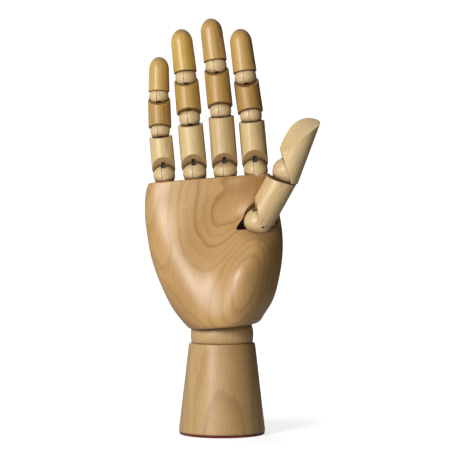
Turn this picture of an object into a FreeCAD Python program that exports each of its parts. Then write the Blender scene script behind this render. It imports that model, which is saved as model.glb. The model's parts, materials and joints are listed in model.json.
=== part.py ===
import FreeCAD, Part

import math
import os

V = FreeCAD.Vector
UP = V(0, 0, 1)
RIGHT = V(1, 0, 0)
BACK = V(0, 1, 0)
ORIGIN = V(0, 0, 0)

# A right hand of turned and carved wood, palm to the front (-Y), thumb to the right (+X).
# The origin is the centre of the felt under the base. All lengths are millimetres.

# Base
BASE_FOOT_DIAMETER = 63.6
BASE_TOP_DIAMETER = 48.6
BASE_HEIGHT = 65.2
BASE_EDGE_ROUND = 1.0
FELT_THICKNESS = 1.5
FELT_INSET = 0.5
SPRING_WELL_DIAMETER = 26.0
SPRING_WELL_DEPTH = 34.0
ROD_DIAMETER = 4.0
ROD_CLEARANCE = 0.3

# Wrist
WRIST_BALL_DIAMETER = 46.2
WRIST_BALL_RISE = 5.8
WRIST_SOCKET_CLEARANCE = 0.3
WRIST_BORE_DIAMETER = 17.0
EYE_WIRE_DIAMETER = 3.0
EYE_RING_DIAMETER = 9.0
EYE_CLEARANCE = 0.5
EYE_SHANK_LENGTH = 40.0
SHANK_CLEARANCE = 0.05
HAND_LEAN_DEGREES = 4.5

# Spring, washer and nut that pull the wrist tight
SPRING_DIAMETER = 18.0
SPRING_WIRE_DIAMETER = 1.8
SPRING_LENGTH = 22.0
SPRING_TURNS = 6
SPRING_SEAT_GAP = 0.1
WASHER_DIAMETER = 22.0
WASHER_THICKNESS = 1.5
NUT_ACROSS_FLATS = 7.0
NUT_HEIGHT = 3.2
ROD_TAIL = 2.0

# Palm
PALM_FOOT_RISE = 6.6
PALM_LENGTH = 108.5
PALM_HALF_WIDTH = 50.0
PALM_FRONT_DEPTH = 25.0
PALM_BACK_DEPTH = 24.5
PALM_ROUNDNESS = 2.5
PALM_TOP_ROUND = 1.2
PALM_FOOT_ROUND = 0.5
HEEL_BULGE = 8.5
THENAR_BULGE = 12.5
HYPOTHENAR_BULGE = 4.5
PALM_HOLLOW = 3.6
SWELLING_POWER = 1.25

# Knuckle row
KNUCKLE_SPACING = 22.4
KNUCKLE_ROW_OFFSET = 0.6
KNUCKLE_RISE = 4.0
KNUCKLE_BALL_SHARE = 0.92
FINGER_BALL_SHARE = 0.83
FINGER_SOCKET_CLEARANCE = 0.25
KNUCKLE_TAIL = 7.0
KNUCKLE_HOLE_DIAMETER = 8.2
KNUCKLE_HOLE_SPARE = 1.5
KNUCKLE_KNOB_DIAMETER = 3.2

# Finger sizes: diameter, then the lengths of the proximal, middle and tip segments
LITTLE_DIAMETER = 17.4
LITTLE_PROXIMAL = 32.9
LITTLE_MIDDLE = 25.6
LITTLE_TIP = 28.7
RING_DIAMETER = 19.0
RING_PROXIMAL = 40.8
RING_MIDDLE = 30.0
RING_TIP = 35.6
LONG_DIAMETER = 19.2
LONG_PROXIMAL = 44.7
LONG_MIDDLE = 33.1
LONG_TIP = 35.1
INDEX_DIAMETER = 19.4
INDEX_PROXIMAL = 40.1
INDEX_MIDDLE = 28.7
INDEX_TIP = 35.7

# Shares of a finger's diameter at the ends of its segments
PROXIMAL_TOP_SHARE = 0.98
MIDDLE_FOOT_SHARE = 0.975
MIDDLE_TOP_SHARE = 0.95
TIP_FOOT_SHARE = 0.905
TIP_TOP_SHARE = 0.85
TIP_DOME_SHARE = 0.62

# Heights of a finger's rims from their joints' centres, at the back wall
KNUCKLE_RIM_BACK = -3.2
PROXIMAL_RIM_BACK = -2.3
MIDDLE_FOOT_BACK = 0.2
MIDDLE_RIM_BACK = 1.6
TIP_FOOT_BACK = 2.2
RIM_ROUND = 0.5

# Steel links inside the balls
LINK_PIN_DIAMETER = 2.0
LINK_PIN_INSET = 0.8
LINK_EYE_DIAMETER = 5.2
LINK_PLATE = 1.2
LINK_ARM = 0.7
LINK_ARM_GAP = 0.15
LINK_WIDTH = 2.6
LINK_BORE_DIAMETER = 4.2
LINK_FIT = 0.03
PIN_CLEARANCE = 0.05
BRIDGE_RISE = 3.1
ANCHOR_SHARE = 0.4
ANCHOR_PLUG_SHARE = 0.5
MOUTH_WIDTH = 2.8
MOUTH_REACH_SHARE = 0.72
MOUTH_RISE = 1.6

# Slot and filler strip in a ball
SLOT_WIDTH = 3.6
SLOT_BACK = 3.2
FILLER_GAP = 0.35
FILLER_BACK = 3.3
FILLER_TOP_DEGREES = 45.0
FILLER_FOOT_DEGREES = 36.0
FILLER_HEART = 2.1

# Thumb
THUMB_X = 32.6
THUMB_Y = -16.5
THUMB_Z = 80.1
THUMB_BALL_DIAMETER = 20.6
THUMB_DIAMETER = 22.0
THUMB_PROXIMAL_TOP_SHARE = 0.985
THUMB_TIP_FOOT_SHARE = 0.98
THUMB_TIP_TOP_SHARE = 0.95
THUMB_PROXIMAL = 42.5
THUMB_TIP = 42.0
THUMB_LEAN_DEGREES = 33.6
THUMB_FORWARD_DEGREES = 9.0
THUMB_TURN_DEGREES = 20.0
THUMB_CUT_TURN_DEGREES = -16.0
THUMB_PAD_TURN_DEGREES = 9.0
THUMB_TIP_BEND_DEGREES = 9.5
THUMB_FOOT_CUT_DEGREES = 36.0
THUMB_FOOT_LIFT = 3.6
THUMB_RIM_FLEXOR = -9.6
THUMB_RIM_EXTENSOR = -5.0
THUMB_RIM_GAP = 0.6
THUMB_LINK_TURN_DEGREES = 14.0
THUMB_LINK_TAIL = 2.0
THUMB_SWING_DEGREES = 20.0
THUMB_BEND_DEGREES = 45.0
THUMB_FILLER_GAP = 0.1
THUMB_POCKET_DIAMETER = 9.6
THUMB_POCKET_SPARE = 1.5
THUMB_RECESS_CLEARANCE = 0.8
THUMB_HEEL_SHARE = 0.72
THUMB_HEEL_DEGREES = 125.0
SHOULDER_DROP = 4.6
SHOULDER_LEFT = 21.5
SHOULDER_DEPTH = 17.5

# Derived places
FELT_TOP = FELT_THICKNESS
BASE_TOP = FELT_TOP + BASE_HEIGHT
WRIST = V(0, 0, BASE_TOP + WRIST_BALL_RISE)
WRIST_BALL_RADIUS = WRIST_BALL_DIAMETER / 2
WRIST_SOCKET_RADIUS = WRIST_BALL_RADIUS + WRIST_SOCKET_CLEARANCE
PALM_TOP = PALM_FOOT_RISE + PALM_LENGTH
KNUCKLE_HEIGHT = PALM_TOP + KNUCKLE_RISE
WORK_SIZE = PALM_TOP + BASE_FOOT_DIAMETER
HAND = FreeCAD.Placement(WRIST, FreeCAD.Rotation(BACK, -HAND_LEAN_DEGREES))

# Each finger: place in the row, in spacings from its middle; drop of its knuckle as a share of the
# rise; sideways leans in degrees of its three segments, positive to the right; heights of its five rims
# at the front wall as shares of its diameter, from the knuckle up
FINGERS = {
    "little": {
        "row_share": -1.5,
        "drop_share": -0.15,
        "diameter": LITTLE_DIAMETER,
        "lengths": (LITTLE_PROXIMAL, LITTLE_MIDDLE, LITTLE_TIP),
        "leans": (-0.9, 2.5, 4.5),
        "rim_shares": (0.76, -0.34, 0.28, -0.405, 0.22),
    },
    "ring": {
        "row_share": -0.5,
        "drop_share": -0.1,
        "diameter": RING_DIAMETER,
        "lengths": (RING_PROXIMAL, RING_MIDDLE, RING_TIP),
        "leans": (-0.9, -0.7, -2.2),
        "rim_shares": (0.725, -0.375, 0.375, -0.38, 0.255),
    },
    "middle": {
        "row_share": 0.5,
        "drop_share": 0.0,
        "diameter": LONG_DIAMETER,
        "lengths": (LONG_PROXIMAL, LONG_MIDDLE, LONG_TIP),
        "leans": (0.1, -1.5, -3.0),
        "rim_shares": (0.69, -0.31, 0.318, -0.405, 0.24),
    },
    "index": {
        "row_share": 1.5,
        "drop_share": 0.2,
        "diameter": INDEX_DIAMETER,
        "lengths": (INDEX_PROXIMAL, INDEX_MIDDLE, INDEX_TIP),
        "leans": (-0.6, -3.5, -3.2),
        "rim_shares": (0.755, -0.295, 0.275, -0.42, 0.24),
    },
}

# Palm sections from foot to top. Each row: height as a share of the palm's length, then the left
# edge, the right edge, the front and the back as shares of the half width and the two depths
PALM_SECTION_SHARES = (
    (0.0, 0.468, 0.482, 0.944, 0.963),
    (0.013, 0.50, 0.572, 1.0, 1.0),
    (0.042, 0.55, 0.624, 1.02, 1.0),
    (0.12, 0.665, 0.752, 0.99, 0.94),
    (0.259, 0.80, 0.882, 0.89, 0.84),
    (0.411, 0.905, 0.966, 0.765, 0.755),
    (0.564, 0.965, 1.0, 0.63, 0.695),
    (0.706, 0.988, 0.985, 0.54, 0.645),
    (0.828, 0.985, 0.95, 0.485, 0.60),
    (0.93, 0.955, 0.918, 0.455, 0.55),
    (1.0, 0.90, 0.888, 0.44, 0.50),
)
PALM_SECTION_POINTS = 36

# Swellings of the palm's front. Each row: the middle's height and place across, its spread to the
# left, right, foot and top, and how far its middle moves across on the way up, as shares of the
# length and of the half width
HEEL_SHARES = (0.33, 0.36, 0.80, 0.58, 0.60, 0.29, 0.9)
THENAR_SHARES = (0.50, 0.62, 0.42, 0.50, 0.46, 0.19, 0.8)
HYPOTHENAR_SHARES = (0.42, -0.60, 0.42, 0.42, 0.40, 0.26, 0.0)
HOLLOW_SHARES = (0.72, 0.26, 0.40, 0.34, 0.16, 0.17, 0.3)

# Thumb pad, from the bump to the sharp end: across as a share of the radius, up as a share of the
# segment's length
PAD_SHARES = (
    (1.06, 0.30),
    (0.93, 0.365),
    (0.76, 0.455),
    (0.60, 0.56),
    (0.42, 0.672),
    (0.18, 0.77),
    (-0.07, 0.845),
    (-0.50, 0.935),
    (-0.80, 0.978),
    (-1.06, 1.0),
)

NODES = {}


def turned(points, curve=None):
    """A solid of revolution about Z from a profile of (radius, height) points, and a curve that closes it."""
    corners = [V(radius, 0, height) for radius, height in points]
    edges = [Part.LineSegment(a, b).toShape() for a, b in zip(corners, corners[1:])]
    if curve is None:
        edges.append(Part.LineSegment(corners[-1], corners[0]).toShape())
    else:
        edges.append(curve.toShape())
    face = Part.Face(Part.Wire(Part.__sortEdges__(edges)))
    return face.revolve(ORIGIN, UP, 360)


def rod(radius, low, high):
    """A round bar on the Z axis between two heights."""
    return Part.makeCylinder(radius, high - low, V(0, 0, low))


def bar(width, depth, low, high):
    """A square bar centred on the Z axis between two heights."""
    return Part.makeBox(width, depth, high - low, V(-width / 2, -depth / 2, low))


def cross_rod(radius, length):
    """A round bar along X, centred on the origin."""
    return Part.makeCylinder(radius, length, V(-length / 2, 0, 0), RIGHT)


def placed(shape, frame):
    """The shape carried from a local frame to the frame that holds it."""
    moved = shape.copy()
    moved.Placement = frame.multiply(moved.Placement)
    return moved


def half_space(front, back, radius, keep_above):
    """What lies on the far side of a rim plane, known by its heights at the front and back walls."""
    middle = (front + back) / 2
    slope = math.degrees(math.atan2(front - back, 2 * radius))
    low = -WORK_SIZE if keep_above else 0
    block = Part.makeBox(WORK_SIZE, WORK_SIZE, WORK_SIZE, V(-WORK_SIZE / 2, -WORK_SIZE / 2, low))
    return placed(block, FreeCAD.Placement(V(0, 0, middle), FreeCAD.Rotation(RIGHT, -slope)))


def soften_rims(solid, radius_at, size):
    """Round the outer edges that go round the wall of a turned segment."""
    rims = []
    for edge in solid.Edges:
        if edge.Degenerated:
            continue
        points = edge.discretize(Number=7)
        heights = [point.z for point in points]
        on_wall = all(abs(math.hypot(p.x, p.y) - radius_at(p.z)) < size / 10 for p in points)
        bearing = [math.hypot(p.x - points[0].x, p.y - points[0].y) for p in points]
        along = max(heights) - min(heights) > max(bearing)
        if on_wall and not along:
            rims.append(edge)
    return solid.makeFillet(size, rims)


def keep(node, shapes):
    """Name the solids of one sub-part."""
    solids = []
    for shape in shapes:
        solids.extend(shape.Solids)
    NODES[node] = Part.makeCompound(solids) if len(solids) > 1 else solids[0]


def ring(centre_height, normal):
    """A closed eye of round wire, on the Z axis."""
    return Part.makeTorus(EYE_RING_DIAMETER / 2, EYE_WIRE_DIAMETER / 2, V(0, 0, centre_height), normal)


def base():
    """The turned cone with its socket on top, the rod's bore and the spring's well."""
    foot, top = BASE_FOOT_DIAMETER / 2, BASE_TOP_DIAMETER / 2
    cone = turned([(0, FELT_TOP), (foot, FELT_TOP), (top, BASE_TOP), (0, BASE_TOP)])
    rims = [edge for edge in cone.Edges if edge.isClosed() and not edge.Degenerated]
    cone = cone.makeFillet(BASE_EDGE_ROUND, rims)
    socket = Part.makeSphere(WRIST_SOCKET_RADIUS, WRIST)
    well = rod(SPRING_WELL_DIAMETER / 2, FELT_TOP, FELT_TOP + SPRING_WELL_DEPTH)
    bore = rod(ROD_DIAMETER / 2 + ROD_CLEARANCE, FELT_TOP, BASE_TOP)
    keep("base_cone", [cone.cut(socket).cut(well).cut(bore)])
    keep("base_felt", [rod(foot - FELT_INSET, 0, FELT_TOP)])


def wrist_hardware():
    """The eye rod that the spring pulls down, with its washer and nut, and the palm's own eye."""
    ring_offset = (EYE_RING_DIAMETER - EYE_WIRE_DIAMETER - EYE_CLEARANCE) / 2
    well_top = FELT_TOP + SPRING_WELL_DEPTH
    spring_top = well_top - SPRING_SEAT_GAP
    washer_top = spring_top - SPRING_LENGTH - SPRING_SEAT_GAP
    nut_top = washer_top - WASHER_THICKNESS
    eye_foot = -ring_offset - EYE_RING_DIAMETER / 2
    shaft = rod(ROD_DIAMETER / 2, nut_top - NUT_HEIGHT - ROD_TAIL - WRIST.z, eye_foot)
    wire = ring(-ring_offset, RIGHT).fuse(shaft)
    keep("wrist_eye_rod", [placed(wire, FreeCAD.Placement(WRIST, FreeCAD.Rotation()))])

    hole = rod(ROD_DIAMETER / 2 + SHANK_CLEARANCE, 0, BASE_TOP)
    washer = rod(WASHER_DIAMETER / 2, nut_top, washer_top)
    keep("wrist_washer", [washer.cut(hole)])
    corner = NUT_ACROSS_FLATS / math.sqrt(3)
    hexagon = [V(corner * math.cos(a), corner * math.sin(a), nut_top - NUT_HEIGHT)
               for a in (math.radians(60 * side) for side in range(7))]
    nut = Part.Face(Part.makePolygon(hexagon)).extrude(V(0, 0, NUT_HEIGHT))
    keep("wrist_nut", [nut.cut(hole)])
    keep("wrist_spring", [spring(washer_top + SPRING_SEAT_GAP, spring_top)])

    shank = rod(ROD_DIAMETER / 2, -eye_foot, EYE_SHANK_LENGTH)
    keep("palm_eye_screw", [placed(ring(ring_offset, BACK).fuse(shank), HAND)])


def spring(low, high):
    """A coil of wire between two heights, each turn four arcs, and its least gap printed."""
    radius = (SPRING_DIAMETER - SPRING_WIRE_DIAMETER) / 2
    wire = SPRING_WIRE_DIAMETER / 2
    start, rise = low + wire, high - low - SPRING_WIRE_DIAMETER
    steps = SPRING_TURNS * 8

    def point(step):
        angle = math.radians(45 * step)
        return V(radius * math.cos(angle), radius * math.sin(angle), start + rise * step / steps)

    arcs = [Part.Arc(point(s), point(s + 1), point(s + 2)).toShape() for s in range(0, steps, 2)]
    path = Part.Wire(arcs)
    profile = Part.Wire([Part.Circle(point(0), BACK, wire).toShape()])
    print("spring gap between turns", round(rise / SPRING_TURNS - SPRING_WIRE_DIAMETER, 2))
    return path.makePipeShell([profile], True, False)


def wrist_ball():
    """The ball between base and palm, bored for the two eyes, upright to the palm."""
    ball = Part.makeSphere(WRIST_BALL_RADIUS)
    bore = rod(WRIST_BORE_DIAMETER / 2, -WRIST_BALL_DIAMETER, WRIST_BALL_DIAMETER)
    keep("wrist_ball", [placed(ball.cut(bore), FreeCAD.Placement(WRIST, FreeCAD.Rotation()))])


def swelling(x, z, shares, height):
    """How far a smooth mound lifts the palm's front at a place."""
    up, across, left, right, foot, top, slant = shares
    above = (z - PALM_FOOT_RISE) / PALM_LENGTH - up
    aside = x / PALM_HALF_WIDTH - across - slant * above
    aside /= right if aside > 0 else left
    above /= top if above > 0 else foot
    return height * math.exp(-(aside ** 2 + above ** 2) ** SWELLING_POWER)


def palm_section(row):
    """One closed outline of the palm at its height: a rounded oblong whose front carries the mounds."""
    up, left, right, front, back = row
    z = PALM_FOOT_RISE + up * PALM_LENGTH
    middle = (right - left) / 2 * PALM_HALF_WIDTH
    half = (right + left) / 2 * PALM_HALF_WIDTH
    power = 2 / PALM_ROUNDNESS
    points = []
    for step in range(PALM_SECTION_POINTS):
        angle = 2 * math.pi * step / PALM_SECTION_POINTS
        across, deep = math.cos(angle), math.sin(angle)
        x = middle + half * math.copysign(abs(across) ** power, across)
        share = abs(deep) ** power
        if deep > 0:
            y = back * PALM_BACK_DEPTH * share
        else:
            mound = swelling(x, z, HEEL_SHARES, HEEL_BULGE)
            mound += swelling(x, z, THENAR_SHARES, THENAR_BULGE)
            mound += swelling(x, z, HYPOTHENAR_SHARES, HYPOTHENAR_BULGE)
            mound -= swelling(x, z, HOLLOW_SHARES, PALM_HOLLOW)
            y = -(front * PALM_FRONT_DEPTH + mound) * share
        points.append(V(x, y, z))
    curve = Part.BSplineCurve()
    curve.interpolate(Points=points, PeriodicFlag=True)
    return Part.Wire([curve.toShape()])


def thumb_shoulder():
    """What is carved away above the ball of the thumb, in front of the palm's face."""
    thumb = V(THUMB_X, THUMB_Y, THUMB_Z)
    level = THUMB_Z - SHOULDER_DROP
    front = V(SHOULDER_LEFT, -SHOULDER_DEPTH - WORK_SIZE, level)
    block = Part.makeBox(WORK_SIZE, WORK_SIZE, WORK_SIZE, front)
    socket = Part.makeSphere(THUMB_BALL_DIAMETER / 2 + FINGER_SOCKET_CLEARANCE, thumb)
    depth = THUMB_DIAMETER / 2 + THUMB_RECESS_CLEARANCE
    groove = rod(depth, -depth, THUMB_PROXIMAL)
    bend = FreeCAD.Placement(ORIGIN, FreeCAD.Rotation(RIGHT, THUMB_BEND_DEGREES))
    bent = placed(rod(depth, 0, THUMB_PROXIMAL), bend)
    fan = Part.makeCylinder(THUMB_PROXIMAL, depth, ORIGIN, UP, THUMB_BEND_DEGREES)
    heel = Part.makeCylinder(THUMB_DIAMETER * THUMB_HEEL_SHARE, depth, ORIGIN, UP,
                             THUMB_HEEL_DEGREES + THUMB_BEND_DEGREES)
    to_hinge = FreeCAD.Rotation(UP, BACK.negative(), RIGHT, "ZXY")
    fan = placed(fan, FreeCAD.Placement(V(-depth, 0, 0), to_hinge))
    heel_turn = FreeCAD.Rotation(RIGHT, -THUMB_HEEL_DEGREES).multiply(to_hinge)
    heel = placed(heel, FreeCAD.Placement(V(-depth, 0, 0), heel_turn))
    recess = [placed(shape, thumb_frames()[0]) for shape in (groove, bent, fan, heel)]
    below = Part.makeBox(WORK_SIZE, WORK_SIZE, WORK_SIZE, V(0, -WORK_SIZE / 2, level - WORK_SIZE))
    return [block, socket] + [shape.cut(below) for shape in recess]


def thumb_pocket():
    """The room under the thumb's ball where its link swings."""
    reach = THUMB_BALL_DIAMETER / 2 + THUMB_LINK_TAIL + THUMB_POCKET_SPARE
    pocket = rod(THUMB_POCKET_DIAMETER / 2, -reach, 0)
    pocket = placed(pocket, FreeCAD.Placement(ORIGIN, FreeCAD.Rotation(RIGHT, THUMB_LINK_TURN_DEGREES)))
    frame = thumb_frames()[0]
    swing = FreeCAD.Placement(frame.Base, FreeCAD.Rotation(UP, -THUMB_SWING_DEGREES / 2))
    local = FreeCAD.Placement(ORIGIN, frame.Rotation)
    return placed(placed(pocket, local), swing)


def palm():
    """The carved palm with its sockets, carved shoulder and holes, leaning as the hand stands."""
    sections = [palm_section(row) for row in PALM_SECTION_SHARES]
    body = Part.makeLoft(sections, True, False)
    for height, size in ((PALM_FOOT_RISE, PALM_FOOT_ROUND), (PALM_TOP, PALM_TOP_ROUND)):
        rims = [edge for edge in body.Edges
                if edge.BoundBox.ZLength < size / 10 and abs(edge.BoundBox.ZMin - height) < size]
        body = body.makeFillet(size, rims)
    for cut in thumb_shoulder():
        body = body.cut(cut)
    body = body.cut(thumb_pocket())
    body = body.cut(Part.makeSphere(WRIST_SOCKET_RADIUS))
    body = body.cut(rod(ROD_DIAMETER / 2 + SHANK_CLEARANCE, 0, EYE_SHANK_LENGTH + ROD_TAIL))
    for finger in FINGERS.values():
        frame = finger_frames(finger)[0]
        radius = finger["diameter"] * KNUCKLE_BALL_SHARE / 2
        socket = Part.makeSphere(radius + FINGER_SOCKET_CLEARANCE)
        deep = radius + KNUCKLE_TAIL + KNUCKLE_KNOB_DIAMETER / 2 + KNUCKLE_HOLE_SPARE
        hole = rod(KNUCKLE_HOLE_DIAMETER / 2, -deep, 0)
        body = body.cut(placed(socket.fuse(hole), frame))
    keep("palm", [placed(body, HAND)])


def finger_frames(finger):
    """Frames of a finger's three segments, each at its joint's centre, in the hand's own frame."""
    x = KNUCKLE_ROW_OFFSET + finger["row_share"] * KNUCKLE_SPACING
    at = V(x, 0, KNUCKLE_HEIGHT - finger["drop_share"] * KNUCKLE_RISE)
    frames = []
    for length, lean in zip(finger["lengths"], finger["leans"]):
        turn = FreeCAD.Rotation(BACK, lean)
        frames.append(FreeCAD.Placement(at, turn))
        at = at + turn.multVec(V(0, 0, length))
    return frames


def slotted_ball(radius):
    """A ball with an open slot in its bending plane and a hole for its pin."""
    ball = Part.makeSphere(radius)
    slot = Part.makeBox(SLOT_WIDTH, WORK_SIZE + SLOT_BACK, WORK_SIZE,
                        V(-SLOT_WIDTH / 2, -WORK_SIZE, -WORK_SIZE / 2))
    hole = cross_rod(LINK_PIN_DIAMETER / 2 + PIN_CLEARANCE, WORK_SIZE)
    return ball.cut(slot).cut(hole)


def filler(radius, gap):
    """The strip glued into the front of a ball's slot, clear of the links' travel."""
    high = math.radians(FILLER_TOP_DEGREES)
    low = math.radians(FILLER_FOOT_DEGREES)
    reach = 2 * radius
    left = -SLOT_WIDTH / 2 + gap
    corners = [
        V(left, -FILLER_BACK, -FILLER_HEART),
        V(left, -FILLER_BACK - reach * math.cos(low), -FILLER_HEART - reach * math.sin(low)),
        V(left, -FILLER_BACK - reach * math.cos(high), FILLER_HEART + reach * math.sin(high)),
        V(left, -FILLER_BACK, FILLER_HEART),
    ]
    wedge = Part.Face(Part.makePolygon(corners + corners[:1])).extrude(V(SLOT_WIDTH / 2 - left, 0, 0))
    return wedge.common(Part.makeSphere(radius))


def pin(radius):
    """The steel pin across a ball."""
    return cross_rod(LINK_PIN_DIAMETER / 2, 2 * (radius - LINK_PIN_INSET))


def eye_link(radius, tail):
    """The lower link: a flat eye on the pin and a tail that runs down out of the ball."""
    eye = cross_rod(LINK_EYE_DIAMETER / 2, LINK_PLATE)
    stem = bar(LINK_PLATE, LINK_WIDTH, -radius - tail, 0)
    hole = cross_rod(LINK_PIN_DIAMETER / 2 + LINK_FIT, WORK_SIZE)
    return eye.fuse(stem).cut(hole)


def fork_link(radius, tail):
    """The upper link: two arms that straddle the flat eye, joined above it into one tail."""
    inner = LINK_PLATE + 2 * LINK_ARM_GAP
    outer = inner + 2 * LINK_ARM
    arms = cross_rod(LINK_EYE_DIAMETER / 2, outer).fuse(bar(outer, LINK_WIDTH, 0, radius))
    gap = cross_rod(BRIDGE_RISE, inner)
    hole = cross_rod(LINK_PIN_DIAMETER / 2 + PIN_CLEARANCE, WORK_SIZE)
    stem = bar(LINK_PLATE, LINK_WIDTH, radius, radius + tail)
    return arms.fuse(stem).cut(gap).cut(hole)


def anchor(near, far):
    """The round plug that ends a link's tail and fills the segment's bore."""
    low, high = sorted((near + (far - near) * ANCHOR_PLUG_SHARE, far))
    return rod(LINK_BORE_DIAMETER / 2 - LINK_FIT, low, high)


def tip_dome(radius, low, high):
    """The curve of a fingertip from its wall to its end, a quarter of an ellipse."""
    angles = [math.radians(10 * step) for step in range(10)]
    points = [V(radius * math.cos(a), 0, low + (high - low) * math.sin(a)) for a in angles[:-1]]
    points.append(V(0, 0, high))
    curve = Part.BSplineCurve()
    curve.interpolate(Points=points, InitialTangent=UP, FinalTangent=RIGHT.negative())
    return curve


def segment(length, foot, top, foot_rim, top_rim=None):
    """A turned finger segment from one joint's centre to the next, or to its domed end."""
    low = min(foot_rim)
    front, back = foot_rim

    if top_rim is None:
        dome_low = length - 2 * top * TIP_DOME_SHARE

        def radius_at(height):
            return foot + (top - foot) * (height - low) / (dome_low - low)

        dome = tip_dome(top, dome_low, length)
        body = turned([(top, dome_low), (foot, low), (0, low), (0, length)], dome)
    else:
        high = length + max(top_rim)

        def radius_at(height):
            return foot + (top - foot) * (height - low) / (high - low)

        body = turned([(0, low), (foot, low), (top, high), (0, high)])
        body = body.cut(half_space(length + top_rim[0], length + top_rim[1], top, False))
    body = body.cut(half_space(front, back, foot, True))
    return soften_rims(body, radius_at, RIM_ROUND)


def bored(body, foot_ball, foot_depth, length=None, top_ball=None, top_depth=None):
    """Cut a segment's sockets and the bores that hold its links."""
    bore = LINK_BORE_DIAMETER / 2
    body = body.cut(Part.makeSphere(foot_ball + FINGER_SOCKET_CLEARANCE))
    body = body.cut(rod(bore, 0, foot_ball + foot_depth))
    if length is not None:
        body = body.cut(Part.makeSphere(top_ball + FINGER_SOCKET_CLEARANCE, V(0, 0, length)))
        body = body.cut(rod(bore, length - top_ball - top_depth, length))
    return body


def finger(name, sizes):
    """One finger: three segments, a slotted ball at each joint, and the links inside."""
    diameter = sizes["diameter"]
    radius = diameter / 2
    proximal_length, middle_length, tip_length = sizes["lengths"]
    knuckle = radius * KNUCKLE_BALL_SHARE
    ball = radius * FINGER_BALL_SHARE
    proximal, middle, tip = [HAND.multiply(frame) for frame in finger_frames(sizes)]
    middle_joint = FreeCAD.Placement(middle.Base, proximal.Rotation)
    tip_joint = FreeCAD.Placement(tip.Base, middle.Rotation)
    proximal_tail = (proximal_length - knuckle - ball) * ANCHOR_SHARE
    middle_tail = (middle_length - 2 * ball) * ANCHOR_SHARE
    tip_tail = middle_tail

    rims = [share * diameter for share in sizes["rim_shares"]]
    tops = [radius * share for share in (PROXIMAL_TOP_SHARE, MIDDLE_TOP_SHARE, TIP_TOP_SHARE)]
    feet = [radius, radius * MIDDLE_FOOT_SHARE, radius * TIP_FOOT_SHARE]

    wood = segment(proximal_length, feet[0], tops[0], (rims[0], KNUCKLE_RIM_BACK),
                   (rims[1], PROXIMAL_RIM_BACK))
    wood = bored(wood, knuckle, proximal_tail, proximal_length, ball, proximal_tail)
    mouth = Part.makeBox(MOUTH_WIDTH, knuckle * MOUTH_REACH_SHARE, knuckle + MOUTH_RISE,
                         V(-MOUTH_WIDTH / 2, -knuckle * MOUTH_REACH_SHARE, 0))
    keep(name + "_finger_proximal", [placed(wood.cut(mouth), proximal)])

    wood = segment(middle_length, feet[1], tops[1], (rims[2], MIDDLE_FOOT_BACK),
                   (rims[3], MIDDLE_RIM_BACK))
    wood = bored(wood, ball, middle_tail, middle_length, ball, middle_tail)
    keep(name + "_finger_middle", [placed(wood, middle)])

    wood = segment(tip_length, feet[2], tops[2], (rims[4], TIP_FOOT_BACK))
    keep(name + "_finger_tip", [placed(bored(wood, ball, tip_tail), tip)])

    for joint, size, frame in (("knuckle", knuckle, proximal), ("middle", ball, middle_joint),
                               ("tip", ball, tip_joint)):
        strip = placed(filler(size, FILLER_GAP), frame)
        keep(f"{name}_finger_{joint}_ball", [placed(slotted_ball(size), frame), strip])

    knob = Part.makeSphere(KNUCKLE_KNOB_DIAMETER / 2, V(0, 0, -knuckle - KNUCKLE_TAIL))
    link = eye_link(knuckle, KNUCKLE_TAIL).fuse(knob)
    keep(name + "_finger_knuckle_link", [placed(link, proximal), placed(pin(knuckle), proximal)])

    lower = fork_link(knuckle, proximal_tail).fuse(anchor(knuckle, knuckle + proximal_tail))
    upper = placed(eye_link(ball, proximal_tail), middle_joint)
    plug = anchor(proximal_length - ball, proximal_length - ball - proximal_tail)
    upper = upper.fuse(placed(plug, proximal))
    keep(name + "_finger_proximal_links", [placed(lower, proximal), upper, placed(pin(ball), middle_joint)])

    lower = placed(fork_link(ball, middle_tail), middle_joint)
    lower = lower.fuse(placed(anchor(ball, ball + middle_tail), middle))
    upper = placed(eye_link(ball, middle_tail), tip_joint)
    upper = upper.fuse(placed(anchor(middle_length - ball, middle_length - ball - middle_tail), middle))
    keep(name + "_finger_middle_links", [lower, upper, placed(pin(ball), tip_joint)])

    lower = placed(fork_link(ball, tip_tail), tip_joint)
    keep(name + "_finger_tip_link", [lower.fuse(placed(anchor(ball, ball + tip_tail), tip))])


def thumb_frames():
    """Frames of the thumb's two segments, in the hand's own frame: X is the hinge, -Y the pad side."""
    lean, forward = math.radians(THUMB_LEAN_DEGREES), math.radians(THUMB_FORWARD_DEGREES)
    along = V(math.sin(lean) * math.cos(forward), -math.sin(forward), math.cos(lean) * math.cos(forward))
    turn = math.radians(THUMB_TURN_DEGREES)
    pad = V(-math.cos(turn), -math.sin(turn), 0)
    hinge = along.cross(pad)
    hinge.normalize()
    rotation = FreeCAD.Rotation(hinge, along.cross(hinge), along, "ZXY")
    first = FreeCAD.Placement(V(THUMB_X, THUMB_Y, THUMB_Z), rotation)
    bend = FreeCAD.Rotation(RIGHT, THUMB_TIP_BEND_DEGREES)
    second = first.multiply(FreeCAD.Placement(V(0, 0, THUMB_PROXIMAL), bend))
    return first, second


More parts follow.
